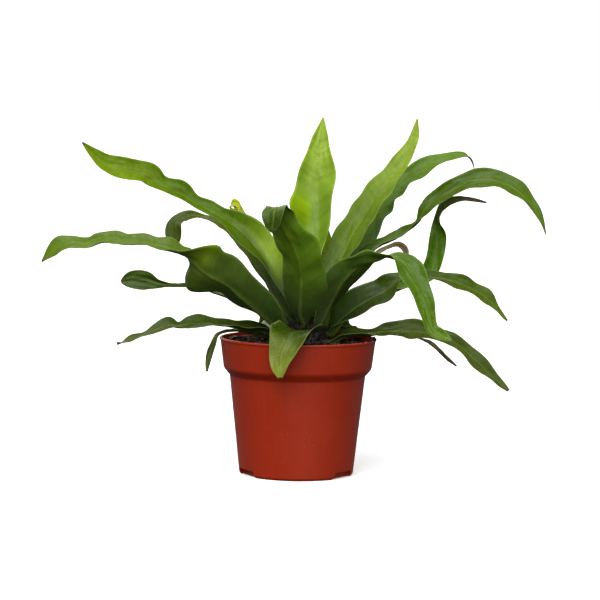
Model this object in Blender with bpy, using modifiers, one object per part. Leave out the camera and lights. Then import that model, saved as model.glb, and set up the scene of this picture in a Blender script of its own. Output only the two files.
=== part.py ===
"""Bird's-nest fern in a 12 cm nursery pot.

A thermoformed plastic pot with three feet holds peat compost.  The fern's crown stands on the
compost, and every frond springs from its own seat on the crown's dome and follows a route of
its own.  The frame's origin is the centre of the pot's underside, with +Z up, +X to the
plant's right and -Y to its front.
"""
import math
from collections import namedtuple

import bmesh
import bpy
from mathutils import Vector

MM = 0.001
GAP = 0.3 * MM                      # clearance between pieces that touch

# Pot
POT_HEIGHT = 105.0 * MM
RIM_RADIUS = 60.2 * MM              # outer edge of the lip
LIP_HEIGHT = 1.8 * MM
LIP_PROUD = 0.6 * MM                # how far the lip stands out from the band
BAND_HEIGHT = 23.0 * MM             # rim to the band's lower edge
BAND_TAPER = 2.7 * MM               # how much the band narrows over its height
SHOULDER_DROP = 5.5 * MM
SHOULDER_STEP = 4.7 * MM
FOOT_RADIUS = 43.8 * MM
FOOT_ROUND = 1.2 * MM
WALL = 1.0 * MM
BASE_THICKNESS = 1.2 * MM
POT_SIDES = 72

# Notches between the three feet, and the drain openings
NOTCH_COUNT = 3
NOTCH_AZIMUTH = 57.2                # degrees round from the front, to the right
NOTCH_SPREAD = 37.0                 # degrees at the ground
NOTCH_CEILING_SPREAD = 29.0         # degrees at its top
NOTCH_HEIGHT = 5.3 * MM
NOTCH_DEPTH = 5.0 * MM
SLOT_SPREAD = 13.0                  # degrees
SLOT_WIDTH = 2.4 * MM
DRAIN_COUNT = 6
DRAIN_RADIUS = 3.2 * MM
DRAIN_RING_RADIUS = 25.0 * MM

# Compost and crown
SOIL_DEPTH = 5.0 * MM               # from the rim down to the compost in the middle
SOIL_FALL = 2.0 * MM                # how much lower the compost lies at the wall
SOIL_FLAT_MARGIN = 3.0 * MM
CROWN_RADIUS = 17.0 * MM
CROWN_OFFSET = 6.0 * MM             # the crown grows this far right of the pot's axis
CROWN_SIDES = 24

# Fronds
LAMINA_THICKNESS = 0.7 * MM
STIPE_THICKNESS = 2.6 * MM
STIPE_WIDTH = 5.0 * MM
STIPE_LEAD = 4.0 * MM               # how far a frond grows straight out of the crown
RIB_END = 0.5                       # share of a frond's length over which the rib thins out
KEEL = 16.0                         # degrees that each half of the blade folds up
STRIP_LENGTH = 11.0 * MM            # spacing of the cross-rows along a frond
STRIPS_ACROSS = 4

# Dead leaf scrap that lies on the compost
SCRAP_LENGTH = 26.0 * MM
SCRAP_WIDTH = 4.5 * MM
SCRAP_THICKNESS = 0.8 * MM
SCRAP_AZIMUTH = 152.0               # degrees from +X
SCRAP_FROM_WALL = 9.0 * MM

Station = namedtuple("Station", "x y z width roll")


def colour(hex_code):
    """Linear RGBA of an sRGB hex colour."""
    channels = [int(hex_code[i:i + 2], 16) / 255 for i in (0, 2, 4)]
    return [c / 12.92 if c <= 0.04045 else ((c + 0.055) / 1.055) ** 2.4 for c in channels] + [1]


def material(name, hex_code, roughness):
    made = bpy.data.materials.new(name)
    made.use_nodes = True
    shader = made.node_tree.nodes["Principled BSDF"]
    shader.inputs["Base Color"].default_value = colour(hex_code)
    shader.inputs["Roughness"].default_value = roughness
    shader.inputs["Metallic"].default_value = 0.0
    return made


def collection(name):
    made = bpy.data.collections.new(name)
    bpy.context.scene.collection.children.link(made)
    return made


def add_object(name, mesh, holder):
    made = bpy.data.objects.new(name, mesh)
    holder.objects.link(made)
    return made


def turned(name, profile, sides, holder):
    """A solid of revolution about Z: the profile runs from the top of the axis to its foot."""
    mesh = bpy.data.meshes.new(name)
    points = [(radius, 0, z) for radius, z in profile]
    mesh.from_pydata(points, [(i, i + 1) for i in range(len(points) - 1)], [])
    made = add_object(name, mesh, holder)
    screw = made.modifiers.new("turn", "SCREW")
    screw.steps = sides
    screw.render_steps = sides
    screw.use_merge_vertices = True
    screw.merge_threshold = 0.00001
    return made


def ring_block(name, inner, outer, low, high, azimuth, spread, top_spread, holder):
    """A curved block about Z, centred on an azimuth, that may narrow towards its top."""
    mesh = bpy.data.meshes.new(name)
    bm = bmesh.new()
    corners = [bm.verts.new((r, 0, z)) for r, z in
               ((inner, high), (outer, high), (outer, low), (inner, low))]
    bm.faces.new(corners)
    bmesh.ops.spin(bm, geom=bm.verts[:] + bm.edges[:] + bm.faces[:], angle=math.radians(spread),
                   steps=7, axis=(0, 0, 1), cent=(0, 0, 0))
    bmesh.ops.remove_doubles(bm, verts=bm.verts, dist=0.00001)
    for vert in bm.verts:
        radius = math.hypot(vert.co.x, vert.co.y)
        turn = math.degrees(math.atan2(vert.co.y, vert.co.x)) - spread / 2
        share = (vert.co.z - low) / (high - low)
        turn *= 1 + share * (top_spread / spread - 1)
        angle = math.radians(azimuth + turn)
        vert.co.x = radius * math.cos(angle)
        vert.co.y = radius * math.sin(angle)
    bm.to_mesh(mesh)
    bm.free()
    return add_object(name, mesh, holder)


def cylinder(name, radius, low, high, x, y, holder):
    mesh = bpy.data.meshes.new(name)
    bm = bmesh.new()
    bmesh.ops.create_cone(bm, cap_ends=True, segments=20, radius1=radius, radius2=radius,
                          depth=high - low)
    bm.to_mesh(mesh)
    bm.free()
    made = add_object(name, mesh, holder)
    made.location = (x, y, (low + high) / 2)
    return made


def cut(target, cutter):
    boolean = target.modifiers.new("cut " + cutter.name, "BOOLEAN")
    boolean.operation = "DIFFERENCE"
    boolean.object = cutter
    cutter.hide_render = True
    cutter.display_type = "WIRE"


def smooth_round(made):
    """Round faces are shaded smooth, and edges sharper than 35 degrees stay crisp."""
    made.data.shade_smooth()
    made.data.set_sharp_from_angle(angle=math.radians(35))


# Pot -------------------------------------------------------------------------------------------

def pot_outline():
    """Radius and height down the pot's outer side, from the lip to the ground."""
    band_top = RIM_RADIUS - LIP_PROUD
    band_foot = band_top - BAND_TAPER
    shoulder_foot = band_foot - SHOULDER_STEP
    band_low = POT_HEIGHT - BAND_HEIGHT
    shoulder_low = band_low - SHOULDER_DROP
    soft = 0.35 * SHOULDER_DROP
    return [
        (RIM_RADIUS - 0.3 * LIP_PROUD, POT_HEIGHT),
        (RIM_RADIUS, POT_HEIGHT - 0.25 * LIP_HEIGHT),
        (RIM_RADIUS, POT_HEIGHT - 0.75 * LIP_HEIGHT),
        (band_top, POT_HEIGHT - LIP_HEIGHT),
        (band_foot, band_low),
        (band_foot - 0.25 * SHOULDER_STEP, band_low - soft),
        (shoulder_foot + 0.2 * SHOULDER_STEP, shoulder_low + 0.6 * soft),
        (shoulder_foot, shoulder_low),
        (FOOT_RADIUS, FOOT_ROUND),
        (FOOT_RADIUS - FOOT_ROUND, 0),
    ]


def cavity_outline(gap):
    """Radius and height down the cavity, drawn in by a gap from the wall and the base."""
    floor = BASE_THICKNESS + gap
    foot = FOOT_RADIUS - WALL - gap
    below_lip = [(radius, z) for radius, z in pot_outline()
                 if floor + FOOT_ROUND < z < POT_HEIGHT - 0.9 * LIP_HEIGHT]
    lining = [(radius - WALL - gap, z) for radius, z in below_lip]
    return lining + [(foot, floor + FOOT_ROUND), (foot - FOOT_ROUND, floor)]


def notch_blocks(name, grow, holder):
    """The recesses between the feet, larger all round by a given amount."""
    blocks = []
    inner = FOOT_RADIUS - NOTCH_DEPTH - grow
    extra = 2 * math.degrees(grow / FOOT_RADIUS)
    for number in range(NOTCH_COUNT):
        azimuth = -90 + NOTCH_AZIMUTH + number * 360 / NOTCH_COUNT
        blocks.append(ring_block("%s_%d" % (name, number + 1), inner, RIM_RADIUS, -WALL - grow,
                                 NOTCH_HEIGHT + grow, azimuth, NOTCH_SPREAD + extra,
                                 NOTCH_CEILING_SPREAD + extra, holder))
    return blocks


def make_pot(holder, cutters):
    outer = [(0, POT_HEIGHT)] + pot_outline() + [(0, 0)]
    pot = turned("pot", outer, POT_SIDES, holder)

    lining = cavity_outline(0)
    mouth = [(0, POT_HEIGHT + WALL), (lining[0][0], POT_HEIGHT + WALL)]
    cavity = turned("pot_cavity", mouth + lining + [(0, lining[-1][1])], POT_SIDES, cutters)
    for block in notch_blocks("notch_lining", WALL, cutters):
        cut(cavity, block)
    cut(pot, cavity)

    for block in notch_blocks("notch", 0, cutters):
        cut(pot, block)

    middle = FOOT_RADIUS - NOTCH_DEPTH / 2 - WALL
    for number in range(NOTCH_COUNT):
        azimuth = -90 + NOTCH_AZIMUTH + number * 360 / NOTCH_COUNT
        slot = ring_block("drain_slot_%d" % (number + 1), middle - SLOT_WIDTH / 2,
                          middle + SLOT_WIDTH / 2, NOTCH_HEIGHT - WALL, NOTCH_HEIGHT + 2 * WALL,
                          azimuth, SLOT_SPREAD, SLOT_SPREAD, cutters)
        cut(pot, slot)
    for number in range(DRAIN_COUNT):
        angle = math.radians(number * 360 / DRAIN_COUNT)
        hole = cylinder("drain_hole_%d" % (number + 1), DRAIN_RADIUS, -BASE_THICKNESS,
                        2 * BASE_THICKNESS, DRAIN_RING_RADIUS * math.cos(angle),
                        DRAIN_RING_RADIUS * math.sin(angle), cutters)
        cut(pot, hole)
    pot.data.materials.append(material("terracotta_plastic", "98311b", 0.4))
    smooth_round(pot)


# Compost, crown and scrap ----------------------------------------------------------------------

def soil_height(radius):
    """Height of the compost at a radius from the pot's axis."""
    flat = CROWN_OFFSET + CROWN_RADIUS + SOIL_FLAT_MARGIN
    wall = RIM_RADIUS - LIP_PROUD - WALL
    share = min(1, max(0, (radius - flat) / (wall - flat)))
    return POT_HEIGHT - SOIL_DEPTH - SOIL_FALL * share


def make_soil(holder, cutters):
    flat = CROWN_OFFSET + CROWN_RADIUS + SOIL_FLAT_MARGIN
    lining = cavity_outline(GAP)
    edge_height = soil_height(RIM_RADIUS)
    below = [point for point in lining if point[1] < edge_height]
    slope = (lining[0][0] - below[0][0]) / (POT_HEIGHT - LIP_HEIGHT - below[0][1])
    edge = (below[0][0] + slope * (edge_height - below[0][1]), edge_height)
    top = [(0, soil_height(0)), (flat, soil_height(0)), edge]
    soil = turned("soil", top + below + [(0, lining[-1][1])], POT_SIDES, holder)
    for block in notch_blocks("notch_soil", WALL + GAP, cutters):
        cut(soil, block)
    soil.data.materials.append(material("peat_compost", "1c1712", 0.95))
    smooth_round(soil)


def crown_centre():
    return Vector((CROWN_OFFSET, 0, POT_HEIGHT - SOIL_DEPTH + GAP))


def make_crown(holder):
    arc = [(CROWN_RADIUS * math.sin(math.radians(tilt)), CROWN_RADIUS * math.cos(math.radians(tilt)))
           for tilt in range(0, 91, 10)]
    crown = turned("crown", arc + [(0, 0)], CROWN_SIDES, holder)
    crown.location = crown_centre()
    crown.data.materials.append(material("rhizome_scales", "2b2113", 0.85))
    smooth_round(crown)


# Fronds ----------------------------------------------------------------------------------------

def smooth_route(stations, samples):
    """Stations read at even distances along a smooth curve through the given ones."""
    knots = [0.0]
    for a, b in zip(stations, stations[1:]):
        knots.append(knots[-1] + math.dist(a[:3], b[:3]))
    slopes = []
    last = len(stations) - 1
    for i in range(len(stations)):
        a, b = max(0, i - 1), min(last, i + 1)
        slopes.append([(q - p) / (knots[b] - knots[a]) for p, q in zip(stations[a], stations[b])])
    route = []
    segment = 0
    for number in range(samples + 1):
        reach = knots[-1] * number / samples
        while segment < last - 1 and reach > knots[segment + 1]:
            segment += 1
        span = knots[segment + 1] - knots[segment]
        t = (reach - knots[segment]) / span
        start, end = stations[segment], stations[segment + 1]
        values = [(2 * t**3 - 3 * t**2 + 1) * p + (t**3 - 2 * t**2 + t) * span * m
                  + (3 * t**2 - 2 * t**3) * q + (t**3 - t**2) * span * n
                  for p, q, m, n in zip(start, end, slopes[segment], slopes[segment + 1])]
        route.append(Station(*values))
    return route


def seat_stations(azimuth, tilt):
    """A frond's first two stations: its foot on the crown, and a point straight out from it."""
    a, t = math.radians(azimuth), math.radians(tilt)
    outward = Vector((math.sin(t) * math.cos(a), math.sin(t) * math.sin(a), math.cos(t)))
    foot = crown_centre() + outward * (CROWN_RADIUS + 2 * GAP)
    lead = foot + outward * STIPE_LEAD
    return [Station(*foot, STIPE_WIDTH, 0), Station(*lead, STIPE_WIDTH, 0)]


def at(x, y, z, width, roll):
    """A station in millimetres from the middle of the pot's mouth."""
    return Station(x * MM, y * MM, POT_HEIGHT + z * MM, width * MM, roll)


def rim(azimuth, out, up, width, roll):
    """A station in millimetres out from the rim's edge and up from its top."""
    angle = math.radians(azimuth)
    radius = RIM_RADIUS + out * MM
    return Station(radius * math.cos(angle), radius * math.sin(angle), POT_HEIGHT + up * MM,
                   width * MM, roll)


def coil(start, heading, rise, radius, turns, width):
    """Stations that roll a young tip inwards, from a start point and direction."""
    angle = math.radians(rise)
    along = Vector((math.cos(math.radians(heading)), math.sin(math.radians(heading)), 0))
    up = Vector((0, 0, 1))
    place = Vector((start.x, start.y, start.z))
    steps = 10
    stations = [start]
    for number in range(round(steps * turns)):
        angle -= 2 * math.pi / steps
        shrink = 1 - 0.6 * (number + 1) / (steps * turns)
        stride = 2 * math.pi / steps * radius * MM * shrink
        place = place + stride * (math.cos(angle) * along + math.sin(angle) * up)
        stations.append(Station(*place, width * MM * shrink, start.roll))
    return stations


def blade_frames(route):
    """Place, right-hand direction and upward direction of the blade at each station."""
    centre = crown_centre()
    heading = math.atan2(route[-1].y - centre.y, route[-1].x - centre.x)
    level = Vector((-math.sin(heading), math.cos(heading), 0))
    frames = []
    for number, station in enumerate(route):
        before = route[max(0, number - 1)]
        after = route[min(len(route) - 1, number + 1)]
        tangent = Vector(after[:3]) - Vector(before[:3])
        tangent.normalize()
        side = (level - level.dot(tangent) * tangent).normalized()
        up = tangent.cross(side)
        roll = math.radians(station.roll)
        frames.append((Vector(station[:3]), math.cos(roll) * side + math.sin(roll) * up,
                       math.cos(roll) * up - math.sin(roll) * side))
    return frames


def make_frond(name, azimuth, tilt, stations, hex_code, holder, keel=KEEL):
    """A strap-shaped blade with a rib, bent and rolled along its route."""
    through = seat_stations(azimuth, tilt) + stations
    length = sum(math.dist(a[:3], b[:3]) for a, b in zip(through, through[1:]))
    rows = max(8, round(length / STRIP_LENGTH))
    route = smooth_route(through, rows)
    frames = blade_frames(route)
    fold = math.radians(keel)

    bm = bmesh.new()
    bmesh.ops.create_grid(bm, x_segments=rows, y_segments=STRIPS_ACROSS, size=1)
    rib = bm.verts.layers.deform.verify()
    for vert in bm.verts:
        share = (vert.co.x + 1) / 2
        side = vert.co.y
        place, right, up = frames[round(share * rows)]
        half = max(route[round(share * rows)].width, 2 * LAMINA_THICKNESS) / 2
        rise = (abs(side) - 0.5) * math.sin(fold)
        vert.co = place + half * (side * math.cos(fold) * right + rise * up)
        thinning = max(0, 1 - share / RIB_END)
        vert[rib][0] = thinning * (1 - abs(side)) ** 0.7
    mesh = bpy.data.meshes.new(name)
    bm.to_mesh(mesh)
    bm.free()

    frond = add_object(name, mesh, holder)
    frond.vertex_groups.new(name="rib")
    solid = frond.modifiers.new("thickness", "SOLIDIFY")
    solid.thickness = STIPE_THICKNESS
    solid.offset = 0
    solid.vertex_group = "rib"
    solid.thickness_vertex_group = LAMINA_THICKNESS / STIPE_THICKNESS
    frond.data.materials.append(material(name + "_green", hex_code, 0.45))
    frond.data.shade_smooth()


def make_left_fronds(holder):
    make_frond("frond_upper_left", 150, 30, [
        at(-5, 4, 18, 14, -15), at(-13, 6, 30, 22, -25), at(-24, 12, 50, 28, -40),
        at(-38, 18, 71, 33, -50), at(-51, 21, 85, 27, -60), at(-62, 22, 94, 16, -50),
        at(-74, 22, 101, 14, -45), at(-90, 20, 110, 19, -55), at(-112, 15, 121, 21, -60),
        at(-135, 9, 130, 17, -60), at(-167, 0, 147, 1.5, -60)], "5f861a", holder)
    make_frond("frond_drooping_left", 133, 56, [
        at(-15, 28, 26, 12, 0), at(-39, 52, 59, 18, -10), at(-62, 62, 85, 14, -20),
        at(-78, 62, 91, 10, -30), at(-90, 58, 90, 14, -60), at(-97, 54, 81, 15, -80),
        at(-99, 50, 65, 2, -90)], "4c6e22", holder)
    make_frond("frond_broad_left", 205, 55, [
        at(-22, -14, 17, 22, 30), at(-40, -28, 32, 36, 52), at(-57, -42, 46, 44, 60),
        at(-69, -50, 55, 44, 52), at(-80, -51, 66, 28, 10), at(-95, -48, 71, 21, -17),
        at(-127, -40, 74, 22, -19), at(-154, -34, 73, 21, -24), at(-177, -28, 68, 15, -32),
        at(-195, -24, 57, 2, -40)], "607535", holder)
    make_frond("frond_spoon_left", 178, 62, [
        at(-33, 1, 23, 10, 0), at(-57, 5, 32, 8, -20), at(-80, 8, 38, 3.5, -40),
        at(-100, 14, 38.5, 4, -60), at(-108, 16, 39, 10, -75), at(-119, 19, 40, 15.5, -80),
        at(-129, 21, 39.5, 10, -80), at(-137, 22, 38, 1.5, -80)], "425d17", holder)
    make_frond("frond_low_left", 198, 82, [
        at(-25, -12, 8, 10, -10), at(-44, -18, 11, 14, -15), at(-59, -22, 13.5, 18, -18),
        at(-75, -26, 14, 18, -18), at(-89, -30, 12, 14, -20), at(-104, -32, 8.5, 9, -20),
        at(-119, -34, 3, 6, -20), at(-133, -36, -4, 5, -10)], "485623", holder)
    make_frond("frond_hanging_left", 172, 84, [
        rim(177, -30, 3.5, 5, 0), rim(178, -14, 5.5, 5, 0), rim(179, -4, 4.5, 5, 0),
        rim(180, 2, 1.5, 5, -20), rim(181, 4.5, -5, 5, -60), rim(182, 7.5, -13, 5.5, -80),
        rim(183, 9, -20, 4, -85), rim(183, 9.5, -27, 1.4, -85)], "2f3d18", holder)


def make_centre_fronds(holder):
    make_frond("frond_upright", 95, 22, [
        at(8, 14, 34, 12, 0), at(10, 24, 58, 22, 0), at(12, 34, 82, 34, 0),
        at(14, 43, 108, 33, 0), at(15, 49, 128, 26, 5), at(16, 55, 149, 14, 8),
        at(17, 60, 168, 1.5, 10)], "8da728", holder, keel=20)
    make_frond("frond_curled_front", 262, 35, [
        at(3, -15, 19, 14, 0), at(3, -21, 31, 23, 0), at(3, -32, 50, 31, 0),
        at(0, -44, 66, 35, 0), at(-7, -56, 81, 31, 0), at(-13, -66, 94, 23, 0),
        at(-18, -76, 101, 15, 0), at(-22, -83, 99, 12, 0), at(-24, -87, 91, 6, 0)],
        "4b6126", holder, keel=24)
    make_frond("frond_over_rim", 262, 78, [
        rim(272, -32, 6, 14, 0), rim(272, -18, 12, 26, 0), rim(268, -6, 12.5, 32, 0),
        rim(264, 3.6, 8, 30, 0), rim(261, 9, -1, 24, 0), rim(259, 11, -10, 17, 0),
        rim(258, 13, -18, 10, 0), rim(258, 13, -24, 3, 0)], "5d7c20", holder, keel=12)
    make_frond("frond_unrolling", 112, 40, [
        at(-7, 20, 35, 6, 0), at(-23, 40, 64, 10, -20), at(-39, 52, 83, 7, -30)]
        + coil(at(-50, 56, 97, 3, -30), 150, 70, 4, 0.9, 3), "a9b23e", holder)
    make_frond("crozier_left", 200, 14, [
        at(-1, -3, 20, 5, 0)] + coil(at(-4, -4, 32, 4, 0), 200, 85, 4, 0.8, 4),
        "9aa548", holder, keel=5)
    make_frond("crozier_right", 330, 14, [
        at(14, -4, 18, 5, 0)] + coil(at(16, -5, 27, 4, 0), 330, 85, 4, 0.8, 4),
        "9aa548", holder, keel=5)


def make_right_fronds(holder):
    make_frond("frond_bright_right", 45, 30, [
        at(20, 12, 36, 14, 5), at(28, 22, 55, 23, 15), at(38, 33, 75, 26, 20),
        at(50, 43, 95, 26, 20), at(64, 53, 116, 20, 20), at(75, 60, 131, 15, 25),
        at(83, 64, 144, 10, 30), at(88, 67, 156, 6, 30), at(91, 70, 168, 1.5, 30)],
        "718b27", holder)
    make_frond("frond_upper_right", 58, 55, [
        at(26, 32, 31, 12, 5), at(40, 52, 56, 22, 10), at(51, 67, 80, 25, 15),
        at(61, 77, 102, 25, 20), at(74, 84, 115, 21, 20), at(90, 88, 126, 18, 20),
        at(105, 90, 134, 15, 25), at(117, 91, 139, 10, 30), at(126, 92, 140, 5, 30),
        at(133, 92, 138, 3, 30), at(138, 92, 131, 1.5, 30)], "6f8c2b", holder)
    make_frond("frond_arching_right", 28, 55, [
        at(28, 16, 27, 12, 10), at(42, 28, 50, 18, 15), at(57, 36, 68, 16, 20),
        at(69, 38, 76.5, 13, 22), at(80, 38, 82, 9, 20), at(90, 36, 88, 5, 20),
        at(96, 34, 98, 11, 45), at(102, 33, 106, 15, 50), at(115, 31, 115, 14, 50),
        at(132, 29, 122.5, 18, 50), at(148, 27, 123, 19, 50), at(163, 25, 118, 16, 50),
        at(175, 24, 108, 12, 50), at(184, 22, 96, 6, 50), at(190, 20, 81, 1.5, 50)],
        "607925", holder)
    make_frond("frond_twisted_right", 12, 68, [
        at(40, 14, 23, 12, 10), at(67, 28, 34, 16, 10), at(88, 36, 41, 16, 15),
        at(99, 40, 48, 14, 40), at(105, 42, 60, 12.5, 70), at(107, 42, 77, 13, 75),
        at(107, 40, 92, 6, 20), at(112, 38, 101, 8, 30), at(125, 36, 106.5, 7, 40),
        at(144, 34, 104, 1.5, 40)], "2b4909", holder)
    make_frond("frond_folded_right", 310, 42, [
        at(23, -18, 30, 12, -20), at(33, -30, 48, 25, -35), at(45, -40, 60, 24, -30),
        at(57, -48, 67.5, 15, -15), at(69, -54, 69, 14, 0), at(79, -60, 64, 20, 25),
        at(87, -66, 53, 21, 35), at(93, -72, 40, 17, 35), at(96, -76, 27, 12, 35),
        at(100, -80, 16, 11, 30), at(106, -83, 11, 9, 30), at(114, -86, 7, 1.5, 30)],
        "597721", holder)
    make_frond("frond_mid_right", 345, 62, [
        at(26, -5, 11, 16, 20), at(39, -7, 23, 23, 45), at(53, -8, 33, 25, 50),
        at(66, -10, 42, 23, 45), at(77, -10, 48.5, 17, 40), at(92, -8, 50, 14, 35),
        at(108, -6, 48, 13, 40), at(125, -4, 43.5, 14, 45), at(140, -2, 35.5, 14, 45),
        at(160, 0, 15, 1.5, 45)], "4d611c", holder)
    make_frond("frond_withered_right", 5, 44, [
        at(24, 3, 24, 6, 0), at(40, 7, 48, 7, 10), at(58, 12, 64, 5, 10),
        at(70, 16, 71.5, 4, 10), at(77, 17, 74, 4, 10), at(83, 17, 70, 4, 10),
        at(82, 16, 63, 2.5, 10)], "6b5a3e", holder)
    make_frond("frond_low_right", 335, 82, [
        at(36, -14, 5, 10, 15), at(56, -20, 7.5, 13, 25), at(70, -24, 9, 18, 40),
        at(82, -26, 10, 20, 45), at(96, -28, 8.5, 17, 40), at(111, -30, 5, 13, 45),
        at(124, -30, -3, 13, 45), at(136, -30, -13, 15, 45), at(147, -28, -23, 12, 45),
        at(161, -26, -35, 1.5, 50)], "4a572a", holder)
    make_frond("frond_thin_right", 14, 84, [
        rim(14, -22, 3, 4, 0), rim(15, -1, 4, 3.5, 0), rim(15, 21, 2, 3, 0),
        rim(15, 34, 0, 3, 0), rim(14.5, 44, -4, 3, 0), rim(14, 52, -11, 3, 0),
        rim(14, 59, -18, 2.5, 0), rim(13, 66, -23, 1.5, 0)], "4a4a2c", holder)


def make_back_fronds(holder):
    make_frond("frond_back_high", 92, 58, [
        at(7, 34, 26, 16, 0), at(7, 62, 42, 24, 0), at(8, 92, 50, 26, 0),
        at(9, 122, 49, 25, 0), at(11, 150, 38, 18, 0), at(13, 168, 20, 8, 0),
        at(14, 174, 10, 1.5, 0)], "5d7a28", holder)
    make_frond("frond_back_inner", 78, 38, [
        at(13, 26, 30, 9, 0), at(16, 40, 50, 16, 0), at(19, 50, 68, 15, 0),
        at(21, 56, 84, 1.5, 0)], "7d9630", holder)
    make_frond("frond_back_right", 75, 72, [
        at(15, 34, 8, 12, 0), rim(75, 0, 12, 18, 0), rim(74, 30, 11, 21, 0),
        rim(73, 62, -2, 18, 0), rim(72, 88, -24, 10, 0), rim(72, 100, -42, 1.5, 0)],
        "4f6a26", holder)
    make_frond("frond_back_left", 108, 72, [
        at(0, 34, 9, 12, 0), rim(104, 0, 13, 18, 0), rim(102, 34, 11, 21, 0),
        rim(101, 66, -6, 18, 0), rim(101, 92, -30, 10, 0), rim(101, 104, -50, 1.5, 0)],
        "55702a", holder)
    make_frond("frond_back_low_right", 58, 80, [
        rim(57, -20, 4, 9, 0), rim(56, 0, 5, 13, 0), rim(56, 14, 1, 14, 0),
        rim(56, 32, -10, 11, 0), rim(57, 46, -26, 1.5, 0)], "465d22", holder)
    make_frond("frond_back_low_left", 125, 80, [
        rim(122, -20, 4, 9, 0), rim(121, 0, 5, 13, 0), rim(120, 16, 1, 14, 0),
        rim(119, 36, -12, 11, 0), rim(118, 52, -32, 1.5, 0)], "4a6124", holder)
    make_frond("frond_back_hanging", 92, 84, [
        rim(90, -24, 2.5, 7, 0), rim(89, -4, 4.5, 10, 0), rim(89, 6, 2, 12, 0),
        rim(89, 12, -8, 13, 0), rim(89, 14, -22, 10, 0), rim(89, 14, -38, 1.5, 0)],
        "546e27", holder)


def make_scrap(holder):
    """A dry strip of dead leaf, flat on the compost near the wall."""
    angle = math.radians(SCRAP_AZIMUTH)
    radius = RIM_RADIUS - SCRAP_FROM_WALL
    mesh = bpy.data.meshes.new("dead_leaf_scrap")
    bm = bmesh.new()
    bmesh.ops.create_cube(bm, size=1)
    bmesh.ops.scale(bm, vec=(SCRAP_WIDTH, SCRAP_LENGTH, SCRAP_THICKNESS), verts=bm.verts)
    bm.to_mesh(mesh)
    bm.free()
    scrap = add_object("dead_leaf_scrap", mesh, holder)
    scrap.location = (radius * math.cos(angle), radius * math.sin(angle),
                      soil_height(radius) + GAP + SCRAP_THICKNESS)
    scrap.rotation_euler = (0, 0, angle)
    scrap.data.materials.append(material("dead_leaf", "6f6350", 0.9))


for old in list(bpy.data.objects):
    bpy.data.objects.remove(old, do_unlink=True)

fern = collection("potted_fern")
cutting_tools = collection("cutting_tools")
make_pot(fern, cutting_tools)
make_soil(fern, cutting_tools)
make_crown(fern)
make_scrap(fern)
make_left_fronds(fern)
make_centre_fronds(fern)
make_right_fronds(fern)
make_back_fronds(fern)
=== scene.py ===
import math
import random
from collections import namedtuple
from functools import partial

import bpy
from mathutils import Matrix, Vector, noise


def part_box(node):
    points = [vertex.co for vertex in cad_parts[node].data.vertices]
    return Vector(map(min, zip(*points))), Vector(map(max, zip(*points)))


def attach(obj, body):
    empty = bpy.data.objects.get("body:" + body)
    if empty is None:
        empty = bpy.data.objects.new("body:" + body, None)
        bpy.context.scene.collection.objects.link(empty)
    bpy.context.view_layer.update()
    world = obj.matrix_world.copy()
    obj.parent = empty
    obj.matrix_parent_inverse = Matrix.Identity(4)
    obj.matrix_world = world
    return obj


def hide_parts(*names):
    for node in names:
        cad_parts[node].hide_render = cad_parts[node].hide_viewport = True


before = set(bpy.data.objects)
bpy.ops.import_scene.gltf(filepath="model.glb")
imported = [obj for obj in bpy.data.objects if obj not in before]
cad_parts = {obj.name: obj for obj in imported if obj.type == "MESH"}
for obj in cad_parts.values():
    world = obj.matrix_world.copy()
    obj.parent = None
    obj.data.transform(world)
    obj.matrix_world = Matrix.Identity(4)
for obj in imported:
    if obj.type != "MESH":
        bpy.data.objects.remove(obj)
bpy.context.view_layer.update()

MM = 0.001


# Nursery pot ------------------------------------------------------------------------------------
# A thin polypropylene grower's pot, thermoformed from one sheet: a rolled lip, a plain band, a
# soft shoulder, a tapering body and three feet with shallow notches between them. Water leaves by
# slots in the notches and by holes in the base.

pot_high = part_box("pot")[1]
POT_HEIGHT = pot_high.z
RIM_RADIUS = pot_high.x
LIP_HEIGHT = 1.8 * MM
LIP_PROUD = 0.6 * MM
BAND_HEIGHT = 23.0 * MM
BAND_TAPER = 2.7 * MM
SHOULDER_DROP = 5.5 * MM
SHOULDER_STEP = 4.7 * MM
FOOT_RADIUS = 43.8 * MM
FOOT_ROUND = 1.2 * MM
WALL = 1.0 * MM
BEND_ROUND = 1.3 * MM
CREASE_ANGLE = math.radians(32)     # sharper edges than this stay crisp
BASE_THICKNESS = 1.2 * MM
POT_SIDES = 144
NOTCH_COUNT = 3
NOTCH_AZIMUTH = 57.2                # degrees round from the front, to the right
NOTCH_HEIGHT = 5.3 * MM
NOTCH_DEPTH = 5.0 * MM
NOTCH_WIDTH = 28.0 * MM             # at the ground
NOTCH_SLOPE = 3.2 * MM              # how much narrower it is on each side at its top
NOTCH_ROUND = 1.6 * MM
SLOT_LENGTH = 9.5 * MM
SLOT_WIDTH = 2.4 * MM
DRAIN_COUNT = 6
DRAIN_RADIUS = 3.2 * MM
DRAIN_RING_RADIUS = 25.0 * MM


def deselect():
    if bpy.context.object and bpy.context.object.mode != "OBJECT":
        bpy.ops.object.mode_set(mode="OBJECT")
    bpy.ops.object.select_all(action="DESELECT")


def choose(piece):
    """Selects one piece and nothing else, and makes it the active one."""
    deselect()
    piece.select_set(True)
    bpy.context.view_layer.objects.active = piece


def settle(piece):
    """Puts the piece's place into its mesh and leaves the object at the origin."""
    choose(piece)
    bpy.ops.object.transform_apply(location=True, rotation=True, scale=True)


def apply_modifier(piece, kind, **settings):
    modifier = piece.modifiers.new(kind.lower(), kind)
    for key, value in settings.items():
        setattr(modifier, key, value)
    bpy.context.view_layer.objects.active = piece
    bpy.ops.object.modifier_apply(modifier=modifier.name)


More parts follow.
